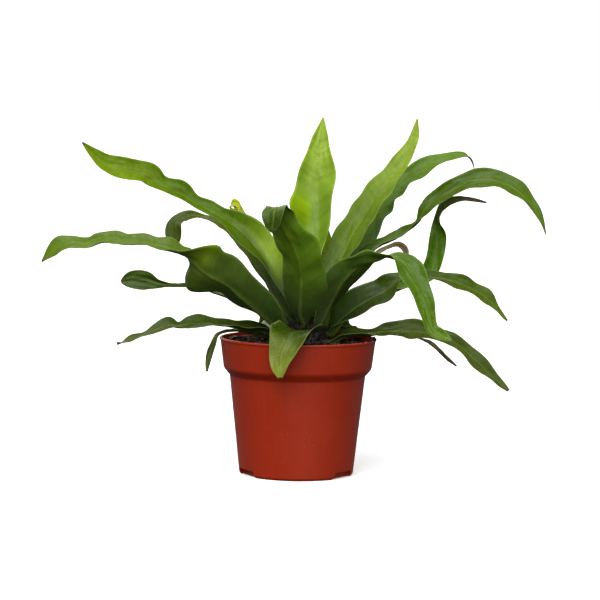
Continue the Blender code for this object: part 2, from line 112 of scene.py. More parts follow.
def turned(name, outline, sides):
    """A closed solid of revolution about Z, drawn up ring by ring from its foot."""
    deselect()
    radius, z = outline[0]
    bpy.ops.mesh.primitive_circle_add(vertices=sides, radius=radius, location=(0, 0, z),
                                      fill_type="NGON")
    made = bpy.context.object
    made.name = name
    bpy.ops.object.mode_set(mode="EDIT")
    bpy.ops.mesh.select_all(action="SELECT")
    for next_radius, next_z in outline[1:]:
        bpy.ops.mesh.extrude_region_move(
            TRANSFORM_OT_translate={"value": (0, 0, next_z - z)})
        scale = next_radius / radius
        bpy.ops.transform.resize(value=(scale, scale, 1), center_override=(0, 0, next_z))
        radius, z = next_radius, next_z
    bpy.ops.mesh.select_all(action="SELECT")
    bpy.ops.mesh.normals_make_consistent(inside=False)
    settle(made)
    return made


def linear(hex_code):
    """Linear RGBA of an sRGB hex colour."""
    channels = [int(hex_code[i:i + 2], 16) / 255 for i in (0, 2, 4)]
    return [c / 12.92 if c <= 0.04045 else ((c + 0.055) / 1.055) ** 2.4 for c in channels] + [1]


def fill(node, values=None, links=None):
    """Gives a node's inputs their values, hex colours among them, and their incoming links. A
    link from a whole node leaves by its first output, or by the colour of a Mix."""
    for key, value in (values or {}).items():
        node.inputs[key].default_value = linear(value) if isinstance(value, str) else value
    for key, source in (links or {}).items():
        if isinstance(source, bpy.types.Node):
            source = source.outputs[2 if source.type == "MIX" else 0]
        node.id_data.links.new(source, node.inputs[key])


def add_node(tree, kind, values=None, links=None, **options):
    """Adds a shader node with its options, its input values and its incoming links."""
    made = tree.nodes.new("ShaderNode" + kind)
    for key, value in options.items():
        setattr(made, key, value)
    fill(made, values, links)
    return made


def new_material(name):
    """A Principled material, what adds a node to it, its shader and its Object coordinates."""
    made = bpy.data.materials.new(name)
    made.use_nodes = True
    add = partial(add_node, made.node_tree)
    return made, add, made.node_tree.nodes["Principled BSDF"], add("TexCoord").outputs["Object"]


def soften(points, amount):
    """An outline with each inner corner cut into three points, to round it."""
    made = [points[0]]
    for before, here, after in zip(points, points[1:], points[2:]):
        for other, share in ((before, 1.0), (before, 0.4), (after, 0.4), (after, 1.0)):
            length = math.dist(here, other)
            step = min(amount * share, 0.45 * length) / length
            sag = 0.0 if share == 1.0 else 0.12 * amount
            middle = [(p + q) / 2 for p, q in zip(before, after)]
            pull = math.dist(here, middle) or 1
            made.append(tuple(p + (q - p) * step + (m - p) / pull * sag
                              for p, q, m in zip(here, other, middle)))
    return made + [points[-1]]


band_top = RIM_RADIUS - LIP_PROUD
band_foot = band_top - BAND_TAPER
shoulder_foot = band_foot - SHOULDER_STEP
band_low = POT_HEIGHT - BAND_HEIGHT
shoulder_low = band_low - SHOULDER_DROP

wall_outline = soften([
    (FOOT_RADIUS - FOOT_ROUND, 0),
    (FOOT_RADIUS, FOOT_ROUND),
    (shoulder_foot, shoulder_low),
    (shoulder_foot + 0.55 * SHOULDER_STEP, shoulder_low + 0.45 * SHOULDER_DROP),
    (band_foot, band_low),
    (band_top, POT_HEIGHT - LIP_HEIGHT)], BEND_ROUND)
lip_outline = [
    (RIM_RADIUS - 0.12 * MM, POT_HEIGHT - LIP_HEIGHT + 0.15 * MM),
    (RIM_RADIUS, POT_HEIGHT - 0.7 * LIP_HEIGHT),
    (RIM_RADIUS, POT_HEIGHT - 0.3 * LIP_HEIGHT),
    (RIM_RADIUS - 0.25 * MM, POT_HEIGHT - 0.08 * MM),
    (RIM_RADIUS - 0.6 * MM, POT_HEIGHT)]
pot = turned("nursery_pot", wall_outline + lip_outline, POT_SIDES)

lining = [(radius - WALL, z) for radius, z in wall_outline if z > BASE_THICKNESS + FOOT_ROUND]
foot_inside = [(FOOT_RADIUS - WALL - FOOT_ROUND, BASE_THICKNESS),
               (FOOT_RADIUS - WALL - 0.2 * MM, BASE_THICKNESS + 0.9 * FOOT_ROUND)]
cavity = turned("pot_cavity", foot_inside + lining + [(lining[-1][0], POT_HEIGHT + WALL)],
                POT_SIDES)


def notch_cutter(name, number, grow):
    """A block with rounded edges that hollows one notch, larger all round by a given amount."""
    deselect()
    angle = math.radians(-90 + NOTCH_AZIMUTH + number * 360 / NOTCH_COUNT)
    depth = NOTCH_DEPTH + RIM_RADIUS - FOOT_RADIUS + grow
    low = -2 * NOTCH_HEIGHT
    high = NOTCH_HEIGHT + grow
    middle = FOOT_RADIUS - NOTCH_DEPTH - grow + depth / 2
    bpy.ops.mesh.primitive_cube_add(size=1, location=(middle, 0, (low + high) / 2),
                                    scale=(depth, NOTCH_WIDTH + 2 * grow, high - low))
    block = bpy.context.object
    block.name = name
    settle(block)
    for vert in block.data.vertices:
        vert.co.y -= math.copysign(NOTCH_SLOPE, vert.co.y) * (1 if vert.co.z > 0 else -1)
    apply_modifier(block, "BEVEL", width=NOTCH_ROUND, segments=4)
    block.rotation_euler.z = angle
    settle(block)
    return block


def cut(piece, cutter):
    apply_modifier(piece, "BOOLEAN", operation="DIFFERENCE", solver="EXACT", object=cutter)
    bpy.data.objects.remove(cutter, do_unlink=True)


for number in range(NOTCH_COUNT):
    cut(cavity, notch_cutter("notch_lining", number, WALL))
for number in range(NOTCH_COUNT):
    cut(pot, notch_cutter("notch", number, 0))
cut(pot, cavity)

for number in range(DRAIN_COUNT):
    angle = math.radians(number * 360 / DRAIN_COUNT)
    deselect()
    bpy.ops.mesh.primitive_cylinder_add(
        vertices=32, radius=DRAIN_RADIUS, depth=4 * BASE_THICKNESS,
        location=(DRAIN_RING_RADIUS * math.cos(angle), DRAIN_RING_RADIUS * math.sin(angle), 0))
    cut(pot, bpy.context.object)
for number in range(NOTCH_COUNT):
    angle = math.radians(-90 + NOTCH_AZIMUTH + number * 360 / NOTCH_COUNT)
    reach = FOOT_RADIUS - NOTCH_DEPTH / 2 - WALL
    deselect()
    bpy.ops.mesh.primitive_cube_add(
        size=1, scale=(SLOT_WIDTH, SLOT_LENGTH, 4 * WALL), rotation=(0, 0, angle),
        location=(reach * math.cos(angle), reach * math.sin(angle), NOTCH_HEIGHT))
    cut(pot, bpy.context.object)

choose(pot)
bpy.ops.object.shade_smooth_by_angle(angle=CREASE_ANGLE)


def polypropylene():
    """Thermoformed polypropylene, terracotta red: satin in soft clouds, faintly drawn along the
    pull of the mould, with fine specks of pale dust."""
    made, add, shader, place = new_material("thermoformed_polypropylene")
    cloud = add("TexNoise", {"Scale": 1 / (38 * MM), "Detail": 3.0}, {"Vector": place})
    shade = add("Mix", {6: "982307", 7: "aa300f"}, {0: cloud}, data_type="RGBA")
    drawn_place = add("Mapping", {"Scale": (1, 1, 0.06)}, {"Vector": place})
    drawn = add("TexNoise", {"Scale": 1 / (2.5 * MM), "Detail": 2.0}, {"Vector": drawn_place})
    drawn_share = add("MapRange", {"From Min": 0.35, "From Max": 0.7, "To Max": 0.16},
                      {"Value": drawn})
    drawn_shade = add("Mix", {7: "801b05"}, {0: drawn_share, 6: shade}, data_type="RGBA")
    speck = add("TexNoise", {"Scale": 1 / (1.3 * MM), "Detail": 1.0}, {"Vector": place})
    dust = add("MapRange", {"From Min": 0.72, "From Max": 0.8, "To Max": 0.3}, {"Value": speck})
    dusty = add("Mix", {7: "c98a72"}, {0: dust, 6: drawn_shade}, data_type="RGBA")
    satin = add("MapRange", {"To Min": 0.36, "To Max": 0.55}, {"Value": cloud})
    skin = add("TexNoise", {"Scale": 1 / (0.9 * MM), "Detail": 2.0}, {"Vector": place})
    relief = add("Bump", {"Strength": 0.25, "Distance": 0.06 * MM}, {"Height": skin})
    fill(shader, {"IOR": 1.49, "Specular IOR Level": 0.35},
         {"Base Color": dusty, "Roughness": satin, "Normal": relief})
    return made


pot.data.materials.append(polypropylene())
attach(pot, "root")
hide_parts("pot")


# Peat compost -----------------------------------------------------------------------------------
# Dark milled peat, pressed down by watering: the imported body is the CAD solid, and over it lies a
# loose top layer of crumbs, roots and fibres that reaches the wall, with a few crumbs on the lip.

SOIL_DEPTH = 5.0 * MM
SOIL_FALL = 2.0 * MM
LAYER_RADIUS = RIM_RADIUS - LIP_PROUD - WALL - 0.5 * MM
CROWN_RADIUS = 17.0 * MM
CROWN_OFFSET = 6.0 * MM
GAP = 0.3 * MM
RING_STEP = 1.6 * MM
LAYER_SIDES = 180
CRUMB_COUNT = 560
RIM_CRUMB_COUNT = 46
ROOT_COUNT = 150
ROOT_STEPS = 9
ROOT_STRIDE = 1.5 * MM
ROOT_RADIUS = 0.16 * MM


def soil_height(radius):
    flat = CROWN_OFFSET + CROWN_RADIUS + 3.0 * MM
    wall = RIM_RADIUS - LIP_PROUD - WALL
    share = min(1, max(0, (radius - flat) / (wall - flat)))
    return POT_HEIGHT - SOIL_DEPTH - SOIL_FALL * share


def peat_relief(x, y):
    """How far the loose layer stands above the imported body: hollows, lumps and grit."""
    near = noise.noise(Vector((x, y, 0)) / (9 * MM))
    fine = noise.noise(Vector((x, y, 5 * MM)) / (3.2 * MM))
    grit = noise.noise(Vector((x, y, 9 * MM)) / (1.5 * MM))
    return (1.3 + 1.0 * near + 0.8 * fine + 0.4 * grit) * MM


def milled_peat():
    """Milled sphagnum peat: matt, nearly black when wet, with paler grains."""
    made, add, shader, place = new_material("milled_peat")
    clod = add("TexNoise", {"Scale": 1 / (5 * MM), "Detail": 6.0, "Roughness": 0.65},
               {"Vector": place})
    damp = add("MapRange", {"From Min": 0.3, "From Max": 0.75}, {"Value": clod})
    dark = add("Mix", {6: "070504", 7: "271e16"}, {0: damp}, data_type="RGBA")
    grain = add("TexVoronoi", {"Scale": 1 / (1.4 * MM)}, {"Vector": place})
    pale = add("MapRange", {"From Min": 0.16, "From Max": 0.05, "To Max": 0.45}, {"Value": grain})
    earth = add("Mix", {7: "4a3c2c"}, {0: pale, 6: dark}, data_type="RGBA")
    relief = add("Bump", {"Strength": 0.8, "Distance": 0.6 * MM}, {"Height": clod})
    fill(shader, {"Roughness": 0.95, "Specular IOR Level": 0.2},
         {"Base Color": earth, "Normal": relief})
    return made


peat = milled_peat()
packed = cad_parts["soil"]
packed.data.materials.clear()
packed.data.materials.append(peat)

layer_low = soil_height(RIM_RADIUS) - 1.0 * MM
layer = turned("peat_top_layer", [(LAYER_RADIUS - 0.4 * MM, layer_low),
                                  (LAYER_RADIUS, soil_height(RIM_RADIUS) + 0.5 * MM)],
               LAYER_SIDES)
bpy.ops.object.mode_set(mode="EDIT")
bpy.ops.mesh.select_all(action="DESELECT")
bpy.ops.object.mode_set(mode="OBJECT")
layer.data.polygons[max(layer.data.polygons, key=lambda face: face.center.z).index].select = True
bpy.ops.object.mode_set(mode="EDIT")
bpy.ops.mesh.select_mode(type="FACE")
for ring in range(int(LAYER_RADIUS / RING_STEP) - 1):
    bpy.ops.mesh.inset(thickness=RING_STEP)
bpy.ops.object.mode_set(mode="OBJECT")
for vert in layer.data.vertices:
    if vert.co.z > layer_low + 0.1 * MM:
        reach = math.hypot(vert.co.x, vert.co.y)
        vert.co.z = soil_height(reach) + peat_relief(vert.co.x, vert.co.y)
layer.data.materials.append(peat)
bpy.ops.object.shade_smooth()
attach(layer, "root")


def crumb(seed):
    """One lump of peat: a small faceted ball, dented by noise."""
    bpy.ops.mesh.primitive_ico_sphere_add(subdivisions=2, radius=1)
    made = bpy.context.object
    for vert in made.data.vertices:
        vert.co *= 1 + 0.45 * noise.noise(vert.co * 1.7 + Vector((seed * 7.3, 0, 0)))
    return made


def scatter(name, masters, places):
    """Copies of the masters, each with its own mesh, joined into one piece."""
    copies = []
    for number, (spot, size, turn) in enumerate(places):
        copy = masters[number % len(masters)].copy()
        copy.data = copy.data.copy()
        bpy.context.collection.objects.link(copy)
        copy.location = spot
        copy.scale = size
        copy.rotation_euler = turn
        copies.append(copy)
    for master in masters:
        bpy.data.objects.remove(master, do_unlink=True)
    deselect()
    for copy in copies:
        copy.select_set(True)
    bpy.context.view_layer.objects.active = copies[0]
    bpy.ops.object.join()
    made = bpy.context.object
    made.name = name
    settle(made)
    return made


random.seed(11)
deselect()
crumb_masters = [crumb(seed) for seed in range(5)]
crumb_places = []
for number in range(CRUMB_COUNT):
    angle = random.uniform(0, 2 * math.pi)
    reach = LAYER_RADIUS * math.sqrt(random.uniform(0.05, 0.97))
    size = random.choice((0.8, 1.0, 1.2, 1.5, 1.9, 2.6)) * MM * random.uniform(0.7, 1.1)
    x, y = reach * math.cos(angle), reach * math.sin(angle)
    z = soil_height(reach) + peat_relief(x, y) + 0.3 * size
    crumb_places.append(((x, y, z), (size, size * random.uniform(0.6, 1), size * 0.7),
                         (random.uniform(0, 3), random.uniform(0, 3), random.uniform(0, 6))))
for number in range(RIM_CRUMB_COUNT):       # on the lip and the band, on the right
    angle = math.radians(random.gauss(-8, 16))
    size = random.uniform(0.35, 0.9) * MM
    reach = RIM_RADIUS - random.uniform(-0.2, 2.2) * MM
    z = POT_HEIGHT + 0.3 * size - random.choice((0, 0, 0, 4, 7, 10)) * MM * (reach > RIM_RADIUS)
    crumb_places.append(((reach * math.cos(angle), reach * math.sin(angle), z),
                         (size, size, size * 0.7), (0, 0, random.uniform(0, 6))))
crumbs = scatter("peat_crumbs", crumb_masters, crumb_places)
crumbs.data.materials.append(peat)
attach(crumbs, "root")


def dead_tissue(name, grain, detail, dark, pale, roughness, bump=0, depth=0):
    """Dead plant tissue: matt, clouded from dark to pale over a given grain in millimetres, and
    rough to a given depth where a bump is asked for."""
    made, add, shader, place = new_material(name)
    cloud = add("TexNoise", {"Scale": 1 / (grain * MM), "Detail": detail}, {"Vector": place})
    tone = add("Mix", {6: dark, 7: pale}, {0: cloud}, data_type="RGBA")
    fill(shader, {"Roughness": roughness}, {"Base Color": tone})
    if bump:
        relief = add("Bump", {"Strength": bump, "Distance": depth * MM}, {"Height": cloud})
        fill(shader, links={"Normal": relief})
    return made


def threads(name, paths, radius, finish):
    """Fine round strands through given points, as one mesh."""
    curve = bpy.data.curves.new(name, "CURVE")
    curve.dimensions = "3D"
    curve.bevel_depth = radius
    curve.bevel_resolution = 1
    curve.use_fill_caps = True
    for path in paths:
        strand = curve.splines.new("POLY")
        strand.points.add(len(path) - 1)
        for number, (point, place) in enumerate(zip(strand.points, path)):
            point.co = (*place, 1)
            point.radius = 1 - 0.6 * number / len(path)
    made = bpy.data.objects.new(name, curve)
    bpy.context.collection.objects.link(made)
    choose(made)
    bpy.ops.object.convert(target="MESH")
    made = bpy.context.object
    made.data.materials.append(finish)
    bpy.ops.object.shade_smooth()
    return made


random.seed(23)
root_paths = []
for number in range(ROOT_COUNT):
    angle = random.uniform(0, 2 * math.pi)
    reach = LAYER_RADIUS * math.sqrt(random.uniform(0.12, 0.93))
    x, y = reach * math.cos(angle), reach * math.sin(angle)
    heading = random.uniform(0, 2 * math.pi)
    lift = random.uniform(0.2, 1.6) * MM
    path = []
    for step in range(ROOT_STEPS):
        arch = math.sin(math.pi * step / (ROOT_STEPS - 1))
        if math.hypot(x, y) < LAYER_RADIUS - 1 * MM:
            z = soil_height(math.hypot(x, y)) + peat_relief(x, y)
            path.append((x, y, z + (lift + 1.2 * MM) * arch))
        heading += random.gauss(0, 0.4)
        x += ROOT_STRIDE * math.cos(heading)
        y += ROOT_STRIDE * math.sin(heading)
    if len(path) > 3:
        root_paths.append(path)
dry_root = dead_tissue("dry_root_fibre", 7, 2.0, "2c2118", "8b7d6a", 0.85)
fibres = threads("peat_fibres", root_paths, ROOT_RADIUS, dry_root)
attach(fibres, "root")


# Crown ------------------------------------------------------------------------------------------
# The fern's short upright rhizome: a dark woody knob, closely covered with narrow brown papery
# scales, from which every frond springs.

KNOB_SIDES = 64
SCALE_COUNT = 260
crown_foot = Vector((CROWN_OFFSET, 0, POT_HEIGHT - SOIL_DEPTH + GAP))

dome = [(CROWN_RADIUS * math.cos(math.radians(rise)),
         crown_foot.z + CROWN_RADIUS * math.sin(math.radians(rise))) for rise in range(0, 86, 5)]
knob = turned("crown_knob", dome, KNOB_SIDES)
for vert in knob.data.vertices:
    dent = noise.noise(vert.co / (4 * MM))
    vert.co.x *= 1 + 0.05 * dent - 0.03
    vert.co.y *= 1 + 0.05 * dent - 0.03
    vert.co.x += CROWN_OFFSET

# the scales are dry and papery, chestnut to near black
scale_skin = dead_tissue("papery_rhizome_scale", 2.2, 3.0, "080704", "20190b", 0.7, bump=0.6,
                         depth=0.3)
knob.data.materials.append(scale_skin)
choose(knob)
bpy.ops.object.shade_smooth()
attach(knob, "root")
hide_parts("crown")


def papery_scale():
    """One pointed scale, a hollow-backed sliver of unit length that lies along +X."""
    deselect()
    bpy.ops.mesh.primitive_grid_add(x_subdivisions=5, y_subdivisions=2, size=2)
    made = bpy.context.object
    for vert in made.data.vertices:
        share = (vert.co.x + 1) / 2
        width = 0.13 * (1 - share) ** 0.7 + 0.004
        side = vert.co.y
        vert.co = (share, side * width, 0.12 * share * share - 0.05 * abs(side))
    apply_modifier(made, "SOLIDIFY", thickness=0.03, offset=0)
    return made


random.seed(31)
scale_places = []
for number in range(SCALE_COUNT):
    tilt = math.degrees(math.acos(random.uniform(0.1, 0.99)))
    azimuth = random.uniform(0, 360)
    t, a = math.radians(tilt), math.radians(azimuth)
    spot = crown_foot + 0.95 * CROWN_RADIUS * Vector(
        (math.sin(t) * math.cos(a), math.sin(t) * math.sin(a), math.cos(t)))
    size = random.uniform(4, 7.5) * MM
    scale_places.append((spot, (size, size, size),
                         (0, -math.radians(90 - tilt * random.uniform(0.5, 0.8)), a)))
scales = scatter("crown_scales", [papery_scale()], scale_places)
scales.data.materials.append(scale_skin)
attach(scales, "root")


# Dead leaf scrap --------------------------------------------------------------------------------
# A shed strip of old frond that lies on the compost against the wall: dry, curled along its
# length and bleached to a greyish brown.

scrap_low, scrap_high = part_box("dead_leaf_scrap")
scrap_centre = (scrap_low + scrap_high) / 2
SCRAP_AZIMUTH = math.radians(152)
SCRAP_HALF_LENGTH = 13.0 * MM
SCRAP_HALF_WIDTH = 2.6 * MM
SCRAP_THICKNESS = 0.45 * MM

deselect()
bpy.ops.mesh.primitive_grid_add(x_subdivisions=10, y_subdivisions=40, size=2)
scrap = bpy.context.object
scrap.name = "withered_scrap"
for vert in scrap.data.vertices:
    across, along = vert.co.x, vert.co.y
    width = SCRAP_HALF_WIDTH * (1 - 0.55 * along * along)
    curl = 1.1 * MM * across * across + 0.5 * MM * math.sin(3.5 * along)
    ragged = 0.4 * MM * noise.noise(Vector((across * 2, along * 6, 0)))
    vert.co = (across * width + 1.2 * MM * along * along, along * SCRAP_HALF_LENGTH,
               curl + ragged + 2.4 * MM)
apply_modifier(scrap, "SOLIDIFY", thickness=SCRAP_THICKNESS, offset=0)
scrap.rotation_euler.z = SCRAP_AZIMUTH
scrap.location = scrap_centre
settle(scrap)

# bleached grey-brown, with darker stains along it
scrap.data.materials.append(
    dead_tissue("withered_leaf", 4, 4.0, "2f271d", "72664f", 0.85, bump=0.5, depth=0.2))
bpy.ops.object.shade_smooth()
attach(scrap, "root")
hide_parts("dead_leaf_scrap")


# Fronds to the left -----------------------------------------------------------------------------
# Undivided strap-shaped blades, leathery and glossy, folded along a midrib that is a raised ridge
# below, with wavy margins and close side veins. Each springs from its own seat on the crown.

GRID_STEP = 1.7 * MM                # spacing of the cross-rows along a blade
STRIPS = 24                         # strips across a blade
BLADE_THICKNESS = 0.45 * MM
RIB_THICKNESS = 2.3 * MM            # where the blade leaves the crown
RIB_WIDTH = 1.5 * MM
STIPE_WIDTH = 5.0 * MM
STIPE_LEAD = 4.0 * MM
TIP_WIDTH = 1.4 * MM
FOOT_FOLD = 1.1                     # how much steeper the fold is at the foot
VEIN_SPACING = 2.4                  # this and the nine below are in millimetres
SWELL = 38                          # along the blade, from strong ripples to weak ones
DRIFT = 45                          # along the blade, for ripples that come early or late
DRIFT_SHIFT = 9
QUILT = 15
QUILT_LIFT = 1.3
CRINKLE = 5
CRINKLE_LIFT = 0.4
WING_ALONG = 26                     # the middle of the wing along the stalk
WING_REACH = 20
MARGIN_LAG = 2.2                    # radians that one margin's ripples trail the other's
BOW = 0.1                           # how far each half of a blade sags, of its width

Station = namedtuple("Station", "x y z width roll")
Lobe = namedtuple("Lobe", "side along reach lift widen")
Highlight = namedtuple("Highlight", "side along reach share")     # a patch of one half painted yellower: painted highlight where that half catches the light


def smooth_route(stations, samples):
    """Stations read at even distances along a smooth curve through the given ones."""
    knots = [0.0]
    for a, b in zip(stations, stations[1:]):
        knots.append(knots[-1] + math.dist(a[:3], b[:3]))
    slopes = []
    last = len(stations) - 1
    for i in range(len(stations)):
        a, b = max(0, i - 1), min(last, i + 1)
        slopes.append([(q - p) / (knots[b] - knots[a]) for p, q in zip(stations[a], stations[b])])
    route = []
    segment = 0
    for number in range(samples + 1):
        reach = knots[-1] * number / samples
        while segment < last - 1 and reach > knots[segment + 1]:
            segment += 1
        span = knots[segment + 1] - knots[segment]
        t = (reach - knots[segment]) / span
        start, end = stations[segment], stations[segment + 1]
        values = [(2 * t**3 - 3 * t**2 + 1) * p + (t**3 - 2 * t**2 + t) * span * m
                  + (3 * t**2 - 2 * t**3) * q + (t**3 - t**2) * span * n
                  for p, q, m, n in zip(start, end, slopes[segment], slopes[segment + 1])]
        route.append(Station(*values))
    return route


def seat_stations(azimuth, tilt):
    """A frond's first two stations: its foot on the crown, and a point straight out from it."""
    a, t = math.radians(azimuth), math.radians(tilt)
    outward = Vector((math.sin(t) * math.cos(a), math.sin(t) * math.sin(a), math.cos(t)))
    foot = crown_foot + outward * (CROWN_RADIUS + 2 * GAP)
    lead = foot + outward * STIPE_LEAD
    return [Station(*foot, STIPE_WIDTH, 0), Station(*lead, STIPE_WIDTH, 0)]


def at(x, y, z, width, roll=0):
    """A station in millimetres from the middle of the pot's mouth."""
    return Station(x * MM, y * MM, POT_HEIGHT + z * MM, width * MM, roll)


def rim(azimuth, out, up, width, roll=0):
    """A station in millimetres out from the rim's edge and up from its top."""
    angle = math.radians(azimuth)
    radius = RIM_RADIUS + out * MM
    return Station(radius * math.cos(angle), radius * math.sin(angle), POT_HEIGHT + up * MM,
                   width * MM, roll)


def blade_frames(route):
    """Place, right-hand direction and upward direction of the blade at each station."""
    heading = math.atan2(route[-1].y - crown_foot.y, route[-1].x - crown_foot.x)
    level = Vector((-math.sin(heading), math.cos(heading), 0))
    frames = []
    for number, station in enumerate(route):
        before = route[max(0, number - 1)]
        after = route[min(len(route) - 1, number + 1)]
        tangent = (Vector(after[:3]) - Vector(before[:3])).normalized()
        side = (level - level.dot(tangent) * tangent).normalized()
        up = tangent.cross(side)
        roll = math.radians(station.roll)
        frames.append((Vector(station[:3]), math.cos(roll) * side + math.sin(roll) * up,
                       math.cos(roll) * up - math.sin(roll) * side))
    return frames


def store(mesh, name, kind, key, values):
    layer = mesh.attributes.new(name, kind, "POINT")
    layer.data.foreach_set(key, values)


def frond_tissue(name, foot, blade, tip, dry, gloss):
    """Living frond tissue: leathery, waxy above, duller and paler below, with a foot, a blade and a
    tip of given colours; the dark foot is partly the frond's own darker base and partly painted
    shade of the crowded heart. A pale line along the margins and yellow-green patches where asked
    are painted highlight. Its side veins are 1.1 mm apart and are drawn coarser, to show."""
    made, add, shader, place = new_material(name + "_tissue")
    blade_place = add("Attribute", attribute_name="blade").outputs["Vector"]
    parts = add("SeparateXYZ", links={"Vector": blade_place})
    along, across, share = (parts.outputs[axis] for axis in "XYZ")
    margin = add("Attribute", attribute_name="margin").outputs["Fac"]
    under = add("Attribute", attribute_name="under").outputs["Fac"]
    painted_highlight = add("Attribute", attribute_name="painted_highlight").outputs["Fac"]

    cloud = add("TexNoise", {"Scale": 1 / (17 * MM), "Detail": 3.0}, {"Vector": place})
    wander = add("Math", {1: 0.16, 2: -0.08}, {0: cloud}, operation="MULTIPLY_ADD")
    reach = add("Math", links={0: share, 1: wander}, operation="ADD")
    # painted shade: the foot colour is darker partly by the frond's own darker base and partly by
    # shade of the crowded heart
    from_foot = add("MapRange", {"From Min": 0.06, "From Max": 0.5},
                    {"Value": reach}, interpolation_type="SMOOTHSTEP")
    low = add("Mix", {6: foot, 7: blade}, {0: from_foot}, data_type="RGBA")
    to_tip = add("MapRange", {"From Min": 0.5, "From Max": 1.0},
                 {"Value": reach}, interpolation_type="SMOOTHSTEP")
    grown = add("Mix", {7: tip}, {0: to_tip, 6: low}, data_type="RGBA")
    # painted highlight: where one half of a blade catches the light, it is painted yellow-green
    full = add("Mix", {7: "8ea73c"}, {0: painted_highlight, 6: grown}, data_type="RGBA")

    outward = add("Math", links={0: across}, operation="ABSOLUTE")
    slant = add("Math", {1: -0.5}, {0: outward, 2: along}, operation="MULTIPLY_ADD")
    vein_place = add("CombineXYZ", links={"X": slant})
    vein = add("TexWave", {"Scale": 0.31 / VEIN_SPACING, "Distortion": 1.2, "Detail": 1.0,
                           "Detail Scale": 0.4},
               {"Vector": vein_place}).outputs["Fac"]
    streak_across = add("Math", {1: 0.12}, {0: across}, operation="MULTIPLY")
    streak_place = add("CombineXYZ", links={"X": slant, "Y": streak_across})
    streak = add("TexNoise", {"Scale": 1 / 5.0, "Detail": 3.0, "Roughness": 0.6},
                 {"Vector": streak_place})
    tone = add("MapRange", {"From Min": 0.3, "From Max": 0.7, "To Min": 0.86, "To Max": 1.14},
               {"Value": streak})
    vein_tone = add("MapRange", {"To Min": 0.985, "To Max": 1.015}, {"Value": vein})
    both = add("Math", links={0: tone, 1: vein_tone}, operation="MULTIPLY")
    mottled = add("HueSaturation", {"Saturation": 1.17}, {"Color": full, "Value": both})

    rib_share = add("MapRange", {"From Min": 1.0, "From Max": 0.35, "To Max": 0.22},
                    {"Value": outward}, interpolation_type="SMOOTHSTEP")
    ribbed = add("Mix", {7: "7d8c36"}, {0: rib_share, 6: mottled}, data_type="RGBA")
    # painted highlight: a pale line along each margin, where the edges catch the light
    margin_highlight_share = add("MapRange", {"From Min": 0.93, "From Max": 1.0, "To Max": 0.3},
                     {"Value": margin})
    margin_highlighted = add("Mix", {7: "a3ad62"}, {0: margin_highlight_share, 6: ribbed}, data_type="RGBA")
    under_share = add("Math", {1: 0.12}, {0: under}, operation="MULTIPLY")
    paler = add("Mix", {7: "77884f"}, {0: under_share, 6: margin_highlighted}, data_type="RGBA")
    frayed = add("Math", {1: 0.5, 2: -0.25}, {0: streak}, operation="MULTIPLY_ADD")
    end = add("Math", {1: 0.12}, {0: frayed, 2: share}, operation="MULTIPLY_ADD")
    dry_share = add("MapRange", {"From Min": 1 - dry, "From Max": 1 - 0.4 * dry}, {"Value": end})
    dried = add("Mix", {7: "5e4f38"}, {0: dry_share, 6: paler}, data_type="RGBA")

    wax = add("MapRange", {"To Min": gloss - 0.06, "To Max": gloss + 0.08}, {"Value": cloud})
    dull = add("Math", {1: 0.2}, {0: under, 2: wax}, operation="MULTIPLY_ADD")
    heights = add("Math", {1: 0.6}, {0: vein, 2: streak}, operation="MULTIPLY_ADD")
    relief = add("Bump", {"Strength": 0.35, "Distance": 0.25 * MM}, {"Height": heights})
    fill(shader, {"IOR": 1.42, "Specular IOR Level": 0.3, "Subsurface Weight": 0.3,
                  "Subsurface Radius": (0.7, 1.0, 0.25), "Subsurface Scale": 1.2 * MM},
         {"Base Color": dried, "Roughness": dull, "Normal": relief})
    return made


